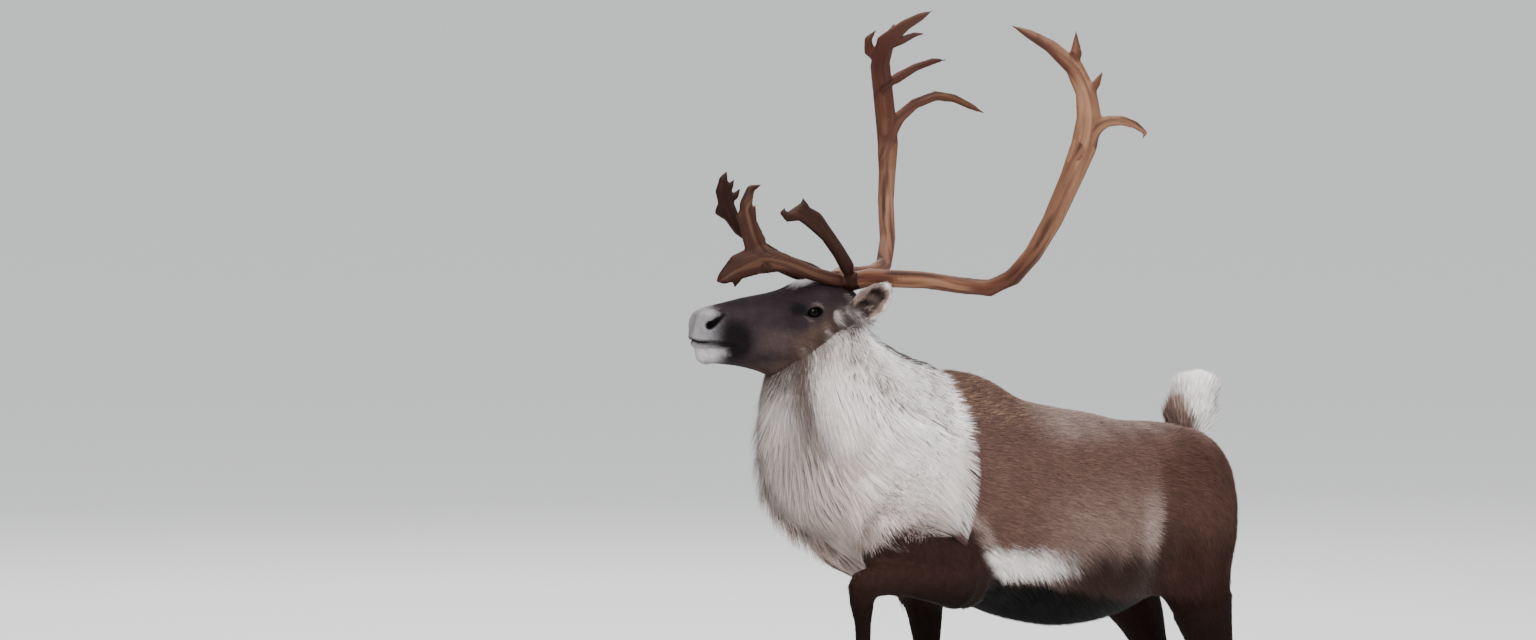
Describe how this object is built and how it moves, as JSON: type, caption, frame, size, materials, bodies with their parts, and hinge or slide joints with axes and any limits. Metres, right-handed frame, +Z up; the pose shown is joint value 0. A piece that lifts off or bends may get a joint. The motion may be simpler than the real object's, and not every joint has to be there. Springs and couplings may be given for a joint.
{
  "type": "life-size caribou (reindeer) model",
  "caption": "Life-size bull caribou in mid-stride with one foreleg raised, a thick pale neck mane, a raised tail and full branching antlers, standing on its own hooves.",
  "frame": {"origin": "middle of the ground that the whole model covers, under the centre of its bounding box", "axes": "+Z up, -X the way the bull faces, -Y its left side"},
  "size_m": [1.5274, 1.014, 1.995],
  "materials": {
    "coat": "short dense brown-grey fur",
    "mane": "long cream-white mane hair",
    "face": "short dark fur, white at the muzzle",
    "leg": "short near-black fur",
    "antler": "bare reddish-brown antler bone, satin",
    "hoof": "dark horn, satin",
    "eye": "wet dark brown eye, glossy"
  },
  "bodies": {
    "root": {"antler_left_bez_tine": "antler", "antler_left_brow_tine": "antler", "antler_left_palm": "antler", "antler_left_rear_tine": "antler", "antler_left_rise": "antler", "antler_left_root": "antler", "antler_right_bez_tine": "antler", "antler_right_brow_tine": "antler", "antler_right_palm": "antler", "antler_right_rear_tine": "antler", "antler_right_rise": "antler", "antler_right_root": "antler", "ear_left": "face", "ear_right": "face", "eye_left": "eye", "eye_right": "eye", "foreleg_left_cannon": "leg", "foreleg_left_dewclaw_inner": "hoof", "foreleg_left_dewclaw_outer": "hoof", "foreleg_left_forearm": "leg", "foreleg_left_hoof_inner": "hoof", "foreleg_left_hoof_outer": "hoof", "foreleg_left_upper": "leg", "foreleg_right_cannon": "leg", "foreleg_right_dewclaw_inner": "hoof", "foreleg_right_dewclaw_outer": "hoof", "foreleg_right_forearm": "leg", "foreleg_right_hoof_inner": "hoof", "foreleg_right_hoof_outer": "hoof", "foreleg_right_upper": "leg", "head": "face", "hindleg_left_cannon": "leg", "hindleg_left_dewclaw_inner": "hoof", "hindleg_left_dewclaw_outer": "hoof", "hindleg_left_gaskin": "leg", "hindleg_left_hoof_inner": "hoof", "hindleg_left_hoof_outer": "hoof", "hindleg_left_thigh": "leg", "hindleg_right_cannon": "leg", "hindleg_right_dewclaw_inner": "hoof", "hindleg_right_dewclaw_outer": "hoof", "hindleg_right_gaskin": "leg", "hindleg_right_hoof_inner": "hoof", "hindleg_right_hoof_outer": "hoof", "hindleg_right_thigh": "leg", "neck": "mane", "tail": "coat", "torso": "coat"}
  },
  "joints": []
}
